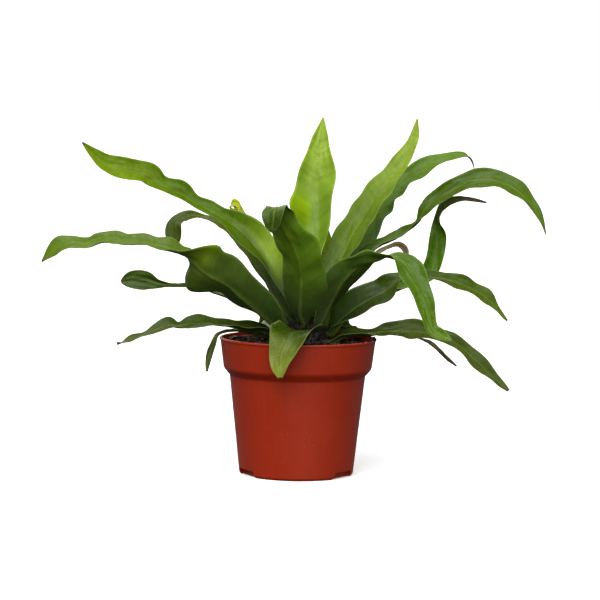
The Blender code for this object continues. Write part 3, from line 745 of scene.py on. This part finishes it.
def grow_frond(name, azimuth, tilt, stations, tones, node=None, keel=16.0, ruffle=1.8,
               wave=27.0, phase=0.0, wing=4.0, lobes=(), pale=(), dry=0.02, gloss=0.4):
    """A blade along its route: a ribbed back, a leafy wing on each side of its stalk, rippled
    margins, the lobes asked for and pale patches of painted highlight. Keel is the fold's slope
    in degrees, and ruffle, wave and wing are in millimetres."""
    through = seat_stations(azimuth, tilt) + stations
    length = sum(math.dist(a[:3], b[:3]) for a, b in zip(through, through[1:]))
    rows = max(24, round(length / GRID_STEP))
    route = smooth_route(through, rows)
    frames = blade_frames(route)
    ripple = phase * 2.7

    deselect()
    bpy.ops.mesh.primitive_grid_add(x_subdivisions=rows, y_subdivisions=STRIPS, size=2)
    frond = bpy.context.object
    frond.name = name
    facts = []
    for vert in frond.data.vertices:
        share = (vert.co.x + 1) / 2
        side = math.copysign(abs(vert.co.y) ** 1.5, vert.co.y)
        row = round(share * rows)
        place, right, up = frames[row]
        along = share * length / MM
        swell = noise.noise(Vector((along / SWELL, ripple, 3.0 * (side > 0))))
        drift = DRIFT_SHIFT * noise.noise(Vector((along / DRIFT, 4.0, ripple)))
        grown = min(1, max(0, (share - 0.08) / 0.25)) * min(1, (1.02 - share) / 0.12)
        beat = 2 * math.pi * (along + drift) / wave + phase + (MARGIN_LAG if side > 0 else 0)
        lift = ruffle * (1 + swell) * grown * abs(side) ** 1.7 * math.sin(beat)
        quilt = noise.noise(Vector((along / QUILT, side * 2.5, ripple)))
        crinkle = noise.noise(Vector((along / CRINKLE, side * 6, ripple)))
        lift += grown * (QUILT_LIFT * quilt + CRINKLE_LIFT * crinkle)
        widen = 0.05 * math.sin(beat * 0.63 + 1.3) * grown
        half = max(route[row].width, TIP_WIDTH) / 2 / MM
        half += 0.5 * wing * math.exp(-((along - WING_ALONG) / WING_REACH) ** 2)
        fold = math.radians(keel * (1 + FOOT_FOLD * (1 - share) ** 2))
        bow = -BOW * half * 4 * abs(side) * (1 - abs(side)) * grown
        flare = 0.0
        for lobe in lobes:
            near = math.exp(-((along - lobe.along) / lobe.reach) ** 2)
            weight = max(0, side * lobe.side) ** 1.5
            lift += lobe.lift * near * weight
            flare += lobe.widen * near * weight * lobe.side
        # how strongly this point takes the painted highlight of the pale patches
        painted_highlight = 0.0
        for patch in pale:
            near = math.exp(-((along - patch.along) / patch.reach) ** 2)
            painted_highlight += patch.share * near * min(1, max(0, 3 * side * patch.side))
        rise = (abs(side) - 0.5) * math.sin(fold) * half
        sideways = half * side * math.cos(fold) * (1 + widen) + flare
        vert.co = place + MM * (sideways * right + (rise + lift + bow) * up)
        facts.append((along, side * half, share, abs(side), painted_highlight))

    thin = frond.vertex_groups.new(name="thickness")
    for index, (along, across, share, side, painted_highlight) in enumerate(facts):
        rib = math.exp(-(across * MM / RIB_WIDTH) ** 2) * (1 - share) ** 1.3
        leaf = 1 - 0.45 * side ** 3
        weight = (BLADE_THICKNESS * leaf + (RIB_THICKNESS - BLADE_THICKNESS) * rib)
        thin.add([index], weight / RIB_THICKNESS, "REPLACE")
    count = len(facts)
    apply_modifier(frond, "SOLIDIFY", thickness=RIB_THICKNESS, offset=-1,
                   vertex_group="thickness")
    frond.vertex_groups.clear()
    both = facts + facts
    store(frond.data, "blade", "FLOAT_VECTOR", "vector",
          [value for fact in both for value in fact[:3]])
    store(frond.data, "margin", "FLOAT", "value", [fact[3] for fact in both])
    store(frond.data, "under", "FLOAT", "value", [0.0] * count + [1.0] * count)
    store(frond.data, "painted_highlight", "FLOAT", "value", [fact[4] for fact in both])
    frond.data.materials.append(frond_tissue(name, *tones, dry, gloss))
    bpy.ops.object.shade_smooth()
    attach(frond, "root")
    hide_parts(node or name.replace("blade_", "frond_"))
    return frond


# In every frond's tones, here and in the sections below, the dark foot colour is partly the frond's
# own darker base and partly painted shade of the crowded heart.
grow_frond("blade_upper_left", 150, 30, [
    at(-5, 4, 18, 14, -15), at(-11, 6, 32, 22, -25), at(-20, 10, 53, 30, -40),
    at(-34, 17, 72, 33, -50), at(-51, 21, 86, 24, -58), at(-62, 22, 92.5, 15, -50),
    at(-70, 22, 97, 15, -45), at(-81, 21, 102, 13, -50), at(-93, 19, 110.5, 18, -55),
    at(-108, 16, 116.5, 15, -58), at(-118, 14, 123, 20, -60), at(-133, 9, 126.5, 20.5, -60),
    at(-149, 5, 131, 16.5, -60), at(-158.5, 3, 138.5, 9.5, -60), at(-167, 0, 147, 1.5, -60)],
    ("283c0a", "526c18", "748e22"), keel=22, ruffle=0.9, phase=0.6, wing=9,
    pale=(Highlight(-1, 60, 22, 0.65),), dry=0.008)
grow_frond("blade_drooping_left", 133, 56, [
    at(-15, 28, 26, 12), at(-39, 52, 60, 16, -10), at(-62, 62, 84, 12, -20),
    at(-80, 62, 89.5, 8, -30), at(-92.5, 58, 88.5, 12, -60), at(-98.5, 54, 83, 15.5, -80),
    at(-98.3, 51, 72, 13, -86), at(-97, 48, 61, 1.5, -90)], ("2a3a10", "4a5a22", "44521e"),
    ruffle=1.0, phase=1.1)
grow_frond("blade_broad_left", 205, 55, [
    at(-22, -14, 17.5, 25, 30), at(-40, -28, 33, 35, 52), at(-57, -42, 47, 40, 60),
    at(-71, -50, 56, 45, 50), at(-82, -51, 66, 28, 4), at(-96, -48, 71, 20, -28),
    at(-107, -46, 73.5, 18, -29), at(-117, -43, 75.5, 18, -32), at(-130, -40, 75, 16, -22),
    at(-140, -37, 76.5, 18, -36), at(-151, -35, 75, 16, -30), at(-160, -33, 72.5, 13, -24),
    at(-171, -30, 72.5, 16, -32), at(-181, -28, 69.5, 17, -42), at(-188, -26, 64.5, 11, -42),
    at(-195, -24, 57, 2, -40)], ("2a4010", "566a2c", "5a702a"), ruffle=1.2, phase=2.0, wing=4,
    lobes=(Lobe(1, 101, 6, 4, 7), Lobe(-1, 86, 10, -2, 5), Lobe(-1, 106, 6, 0, 4),
    Lobe(-1, 62, 9, 1, -2.5)), pale=(Highlight(1, 101, 7, 0.55),))
grow_frond("blade_spoon_left", 178, 62, [
    at(-33, 1, 23, 10), at(-57, 5, 32, 8, -20), at(-80, 8, 38, 3.5, -40),
    at(-100, 14, 37.8, 4, -60), at(-109, 16, 38.2, 7.5, -75), at(-118, 19, 40.5, 14.5, -80),
    at(-128, 20, 41, 14.5, -80), at(-134, 21, 40, 10, -80), at(-138, 22, 39, 2.5, -80)],
    ("263610", "34490c", "3a500e"), ruffle=0.6)
grow_frond("blade_low_left", 198, 82, [
    at(-25, -12, 8, 10, -10), at(-44, -18, 10.5, 13, -15), at(-59, -22, 12.5, 15, -18),
    at(-71, -26, 13.5, 17, -24), at(-83, -29, 12.5, 17, -26), at(-90, -30, 11, 13, -22),
    at(-96.5, -31, 12, 16, -32), at(-107, -32, 8.5, 10, -26), at(-117, -34, 4, 7, -24),
    at(-128, -35, -0.5, 6, -24), at(-136.5, -36, -3.5, 6, 30)], ("222f0a", "3a4a16", "424f1c"),
    ruffle=0.9, wave=24, phase=0.4, dry=0.05)
grow_frond("blade_hanging_left", 172, 84, [
    rim(177, -30, 3.5, 5), rim(178, -14, 5.5, 5), rim(179, -4, 4.5, 5), rim(180, 2, 1.5, 5, -20),
    rim(181, 4.5, -5, 5, -60), rim(182, 7.5, -13, 5.5, -80), rim(183, 9, -20, 4, -85),
    rim(183, 9.5, -27, 1.4, -85)], ("343f1e", "545f36", "5a653c"), ruffle=0.4)


# Fronds in the middle ---------------------------------------------------------------------------
# The heart of the nest: the bright new frond that stands upright, the older one in front whose
# tip has curled down, the one that falls over the rim, one whose tip still unrolls, and two
# that are still rolled up.

def coil(start, heading, rise, radius, turns, width):
    """Stations that roll a still-growing tip inwards, from a start point and direction."""
    angle = math.radians(rise)
    along = Vector((math.cos(math.radians(heading)), math.sin(math.radians(heading)), 0))
    up = Vector((0, 0, 1))
    place = Vector((start.x, start.y, start.z))
    steps = 10
    stations = [start]
    for number in range(round(steps * turns)):
        angle -= 2 * math.pi / steps
        shrink = 1 - 0.6 * (number + 1) / (steps * turns)
        stride = 2 * math.pi / steps * radius * MM * shrink
        place = place + stride * (math.cos(angle) * along + math.sin(angle) * up)
        stations.append(Station(*place, width * MM * shrink, start.roll))
    return stations


grow_frond("blade_upright", 95, 22, [
    at(8, 14, 34, 12), at(8, 24, 58, 22), at(9.5, 34, 82, 33), at(11, 43, 106, 34),
    at(12.7, 49, 128, 28, 5), at(14.8, 55, 149, 16, 8), at(17, 60, 168, 1.5, 10)],
    ("48681c", "70883e", "98ae54"), keel=24, ruffle=1.3, phase=2.4, wing=9,
    lobes=(Lobe(1, 92, 11, 9, 2), Lobe(-1, 118, 14, 1, 2)), pale=(Highlight(1, 90, 14, 0.6),),
    dry=0.004)
# Its tip colour is dark with painted shade, where the tip curls down towards the front.
grow_frond("blade_curled_front", 262, 35, [
    at(3, -15, 19, 18), at(3, -21, 31, 27), at(3, -32, 50, 33), at(0, -44, 66, 35),
    at(-7, -56, 81, 32), at(-13, -66, 93, 24), at(-16, -74, 102.5, 20), at(-17.5, -80, 106, 17, 5),
    at(-19, -86, 102, 19, 10), at(-20, -88, 95, 17, 15), at(-20.5, -87, 88.5, 10, 15),
    at(-20.5, -86, 85, 2, 15)], ("20330a", "6e8e33", "34480f"), keel=18, ruffle=1.3, phase=0.2,
    wing=12, lobes=(Lobe(1, 122, 9, -2.5, 0), Lobe(-1, 122, 9, -3, 0)))
grow_frond("blade_over_rim", 262, 78, [
    rim(272, -32, 6, 16), rim(272, -18, 12, 30), rim(268, -6, 12.5, 36), rim(264, 3.6, 8, 32),
    rim(261, 9, -1, 24), rim(259.5, 11, -10, 17), rim(259.5, 13, -18, 10), rim(260, 13, -24, 3)],
    ("34501a", "304210", "7e8842"), keel=12, ruffle=1.2, phase=1.4, dry=0.012)
grow_frond("blade_unrolling", 112, 40, [
    at(-7, 20, 35, 6), at(-23, 40, 64, 10, -20), at(-41, 52, 86, 4, -30)]
    + coil(at(-48.5, 56, 97.5, 4, -50), 150, 88, 4.5, 1.2, 7),
    ("50681e", "788828", "b2b454"), ruffle=1.4, wave=7)


def grow_crozier(side, azimuth, tilt, stations):
    """A fiddlehead: the same blade, still narrow and thick, rolled up at its tip."""
    return grow_frond("rolled_" + side, azimuth, tilt, stations,
                      ("46541e", "5c6a2c", "76803c"), "crozier_" + side, keel=5, ruffle=0.1)


grow_crozier("left", 200, 14, [
    at(-1, -3, 20, 5)] + coil(at(-4, -4, 32, 4), 200, 85, 4, 0.8, 4))
grow_crozier("right", 330, 14, [
    at(14, -4, 18, 5)] + coil(at(16, -5, 27, 4), 330, 85, 4, 0.8, 4))


# Fronds to the right ----------------------------------------------------------------------------
# More of the same blades: two long ones that rise, one that arches over, one that twists on
# itself, one that folds down, low ones that lie out over the rim, and one withered tip.

grow_frond("blade_bright_right", 45, 30, [
    at(20, 12, 36, 14, 5), at(28, 22, 55, 23, 15), at(38, 33, 75, 26, 20), at(50, 43, 95, 26, 20),
    at(64, 53, 115.5, 23, 20), at(76, 60, 130.5, 17, 25), at(84.5, 64, 143.5, 12, 30),
    at(89.5, 67, 156, 7.5, 30), at(91.5, 70, 168, 1.5, 30)], ("304a10", "586e26", "90a450"),
    ruffle=1.2, phase=0.9, wing=9, dry=0.004, gloss=0.5)
grow_frond("blade_upper_right", 58, 55, [
    at(26, 32, 31, 12, 5), at(42, 52, 56, 24, 10), at(54, 67, 80, 30, 15), at(64, 77, 101, 29, 20),
    at(77, 84, 114, 23, 20), at(91, 88, 125.5, 18.5, 20), at(105, 90, 133, 17.5, 25),
    at(117, 91, 138, 12, 30), at(126, 92, 139.5, 6.5, 30), at(133, 92, 139, 4, 30),
    at(137.5, 92, 134, 3, 30), at(139, 92, 127, 1.5, 30)], ("34500f", "507018", "5a781c"),
    ruffle=1.8, phase=2.6, wing=6, dry=0.05)
grow_frond("blade_arching_right", 28, 55, [
    at(28, 16, 27, 12, 10), at(42, 28, 50, 18, 15), at(57, 36, 68, 16, 20), at(69, 38, 75, 15, 22),
    at(80, 38, 80.5, 11, 20), at(90, 36, 88, 6, 20), at(96.5, 34, 98, 11, 45),
    at(103.5, 33, 106, 15, 50), at(118, 31, 114.8, 14.5, 50), at(134, 29, 122.8, 18.5, 50),
    at(149, 27, 123.2, 19.5, 50), at(164, 25, 118, 17.5, 50), at(176.5, 24, 108, 13.5, 50),
    at(185, 22, 96, 8, 50), at(190.5, 20, 81, 1.5, 50)], ("304a18", "445a1a", "50691c"),
    ruffle=1.1, phase=0.3, dry=0.04)
grow_frond("blade_twisted_right", 12, 68, [
    at(40, 14, 23, 12, 10), at(67, 28, 34, 16, 10), at(88, 36, 41, 16, 15),
    at(101, 40, 47, 17, 35), at(106, 42, 60, 14, 70), at(107.8, 42, 77, 13.5, 75),
    at(107, 40, 93, 7, 20), at(112.5, 38, 101.7, 8, 30), at(126, 36, 107, 6, 40),
    at(145, 34, 104.5, 1.5, 40)], ("56742c", "466816", "464c28"), ruffle=0.6, dry=0.12)
grow_frond("blade_folded_right", 310, 42, [
    at(23, -18, 30, 12, -20), at(33, -30, 48, 25, -35), at(45, -40, 60, 24, -30),
    at(57, -48, 66, 20, -15), at(69, -54, 68, 17), at(78, -60, 64, 20, 25),
    at(85.5, -66, 53, 20, 35), at(91.5, -72, 40, 16.5, 35), at(95, -76, 27, 12.5, 35),
    at(99, -80, 16, 11, 30), at(106, -83, 11, 9, 30), at(114, -86, 7, 1.5, 30)],
    ("182806", "48641e", "526e1e"), ruffle=1.3, phase=1.9, wing=12)
grow_frond("blade_mid_right", 345, 62, [
    at(26, -5, 11, 16, 20), at(39, -7, 23.5, 22, 45), at(52, -8, 32, 24, 50),
    at(65, -10, 39.5, 23, 45), at(77, -10, 48, 13, 40), at(92, -8, 50, 13, 35),
    at(108, -6, 48.5, 13, 40), at(126, -4, 43.8, 14, 45), at(141, -2, 35.8, 14, 45),
    at(160.5, 0, 15.5, 1.5, 45)], ("1e3008", "384b10", "4f621c"), ruffle=1.4, phase=2.9, wing=6,
    lobes=(Lobe(-1, 56, 8, -1, 3), Lobe(-1, 78, 8, 0, -3)))
grow_frond("blade_withered_right", 5, 44, [
    at(24, 3, 24, 6), at(40, 7, 48, 7, 10), at(58, 12, 64, 5, 10), at(68, 16, 69.5, 5, 30),
    at(76, 17, 72, 6, 50), at(81, 17, 69, 6.5, 60), at(82, 16, 64, 5, 60),
    at(77, 16, 63, 2.5, 60)], ("3c4a1e", "4a5230", "6e6850"), ruffle=0.5, dry=0.3, gloss=0.6)
grow_frond("blade_low_right", 335, 82, [
    at(36, -14, 5, 8, 15), at(56, -20, 7, 8, 25), at(69, -24, 9, 15, 40), at(82, -26, 10, 20, 45),
    at(96, -28, 8.5, 17, 40), at(111, -30, 5, 13, 45), at(124.5, -30, -2.6, 13, 45),
    at(136, -30, -12.9, 14, 45), at(147, -28, -23.2, 11.5, 45), at(160.5, -26, -35.5, 2, 50)],
    ("26330f", "43521c", "4a572a"), ruffle=1.6, phase=0.7, dry=0.03)
grow_frond("blade_thin_right", 14, 84, [
    rim(14, -22, 3, 4), rim(15, -1, 4, 3.5), rim(15, 21, 2, 3), rim(15, 34, 0, 3),
    rim(14.5, 44.5, -3.8, 3.5, -20), rim(14, 53, -10.6, 4, -40), rim(14, 60, -17.5, 3.5, -40),
    rim(13, 67, -23.3, 1.5, -40)], ("2a3014", "4a4a2c", "5a4f38"), ruffle=0.3, dry=0.2)


# Fronds at the back -----------------------------------------------------------------------------
# The rest of the nest, which closes it on the far side: a high one and a small inner one, two
# that bend down halfway out, two short low ones, and one that hangs over the rim.

grow_frond("blade_back_high", 92, 58, [
    at(7, 34, 26, 16), at(7, 62, 42, 24), at(8, 92, 50, 26), at(9, 122, 49, 25),
    at(11, 150, 38, 18), at(13, 168, 20, 8), at(14, 174, 10, 1.5)], ("34521a", "5d7a28", "6c8830"),
    ruffle=2.2, phase=1.0)
grow_frond("blade_back_inner", 78, 38, [
    at(13, 26, 30, 9), at(16, 40, 50, 16), at(19, 50, 68, 15), at(21, 56, 84, 1.5)],
    ("4e6c1e", "7d9630", "93a93c"), ruffle=1.0)
grow_frond("blade_back_right", 75, 72, [
    at(15, 34, 8, 12), rim(75, 0, 12, 18), rim(74, 30, 11, 21), rim(73, 62, -2, 18),
    rim(72, 88, -24, 10), rim(72, 100, -42, 1.5)], ("2c4414", "4f6a26", "5d7a2c"), ruffle=2.0,
    phase=0.5)
grow_frond("blade_back_left", 108, 72, [
    at(0, 34, 9, 12), rim(104, 0, 13, 18), rim(102, 34, 11, 21), rim(101, 66, -6, 18),
    rim(101, 92, -30, 10), rim(101, 104, -50, 1.5)], ("2e4616", "55702a", "5f7c30"), ruffle=2.0,
    phase=2.2)
grow_frond("blade_back_low_right", 58, 80, [
    rim(57, -20, 4, 9), rim(56, 0, 5, 13), rim(56, 14, 1, 14), rim(56, 32, -10, 11),
    rim(57, 46, -26, 1.5)], ("28380f", "465d22", "526a2a"), ruffle=1.4, phase=1.6)
grow_frond("blade_back_low_left", 125, 80, [
    rim(122, -20, 4, 9), rim(121, 0, 5, 13), rim(120, 16, 1, 14), rim(119, 36, -12, 11),
    rim(118, 52, -32, 1.5)], ("28380f", "4a6124", "566e2c"), ruffle=1.4, phase=2.8)
grow_frond("blade_back_hanging", 92, 84, [
    at(0, 36.2, 2.5, 7), rim(89, -4, 4.5, 10), rim(89, 6, 2, 12), rim(89, 12, -8, 13),
    rim(89, 14, -22, 10), rim(89, 14, -38, 1.5)], ("2c4214", "546e27", "62802e"), ruffle=1.0,
    phase=0.2)


# Studio -----------------------------------------------------------------------------------------
# A white paper floor without an edge in sight, a broad soft key light high in front on the left,
# a front fill and a rear fill, and a faint light from all round.

FLOOR_RADIUS = 40

deselect()
bpy.ops.mesh.primitive_circle_add(vertices=64, radius=FLOOR_RADIUS, fill_type="NGON",
                                  location=(0, 0, -0.02 * MM))
floor = bpy.context.object
floor.name = "studio_floor"
settle(floor)


def matt_paper():
    """Seamless studio paper: white and fully matt, with a trace of cloudiness. It glows a little,
    so that shadows on it stay pale."""
    made, add, shader, place = new_material("white_background_paper")
    cloud = add("TexNoise", {"Scale": 3.0, "Detail": 2.0}, {"Vector": place})
    tone = add("Mix", {6: "f8f8f8", 7: "fbfbfb"}, {0: cloud}, data_type="RGBA")
    fill(shader, {"Roughness": 0.9, "Specular IOR Level": 0.0, "Emission Color": "ffffff",
                  "Emission Strength": 0.3}, {"Base Color": tone})
    return made


floor.data.materials.append(matt_paper())
floor.visible_diffuse = False
floor.visible_glossy = False

# each light's name and strength, then its breadth, its tilt from overhead and its turn in degrees
for name, strength, breadth, tilt, turn in (("softbox", 2.6, 50, 36, -22),
                                            ("front_fill", 1.35, 60, 72, 12),
                                            ("rear_fill", 1.3, 60, -62, 20)):
    light = bpy.data.lights.new(name, "SUN")
    light.energy = strength
    light.angle = math.radians(breadth)
    lamp = bpy.data.objects.new(name, light)
    lamp.rotation_euler = (math.radians(tilt), 0, math.radians(turn))
    bpy.context.collection.objects.link(lamp)

world = bpy.data.worlds.new("studio")
world.use_nodes = True
tree = world.node_tree
direction = add_node(tree, "TexCoord").outputs["Generated"]
height = add_node(tree, "SeparateXYZ", links={"Vector": direction}).outputs["Z"]
from_above = add_node(tree, "MapRange", {"From Min": -0.6, "To Min": 0.04, "To Max": 0.55},
                      {"Value": height})
seen = add_node(tree, "LightPath").outputs["Is Camera Ray"]
glow = add_node(tree, "MapRange", {"To Max": 1.0}, {"Value": seen, "To Min": from_above})
fill(tree.nodes["Background"], {"Color": "ffffff"}, {"Strength": glow})
bpy.context.scene.world = world
bpy.context.scene.view_settings.view_transform = "Standard"

CAMERA_PLACE = (0.001, -1.98, 0.296)
CAMERA_PITCH = 4.68                 # degrees below level
CAMERA_ROLL = 0.9                   # degrees
CAMERA_LENS = 155.4                 # millimetres
SENSOR_WIDTH = 36.0                 # millimetres
view = bpy.data.cameras.new("camera")
view.lens = CAMERA_LENS
view.sensor_width = SENSOR_WIDTH
view.clip_end = 5 * FLOOR_RADIUS
camera = bpy.data.objects.new("camera", view)
camera.location = CAMERA_PLACE
camera.rotation_mode = "ZYX"
camera.rotation_euler = (math.radians(90 - CAMERA_PITCH), 0, math.radians(CAMERA_ROLL))
bpy.context.collection.objects.link(camera)
bpy.context.scene.camera = camera
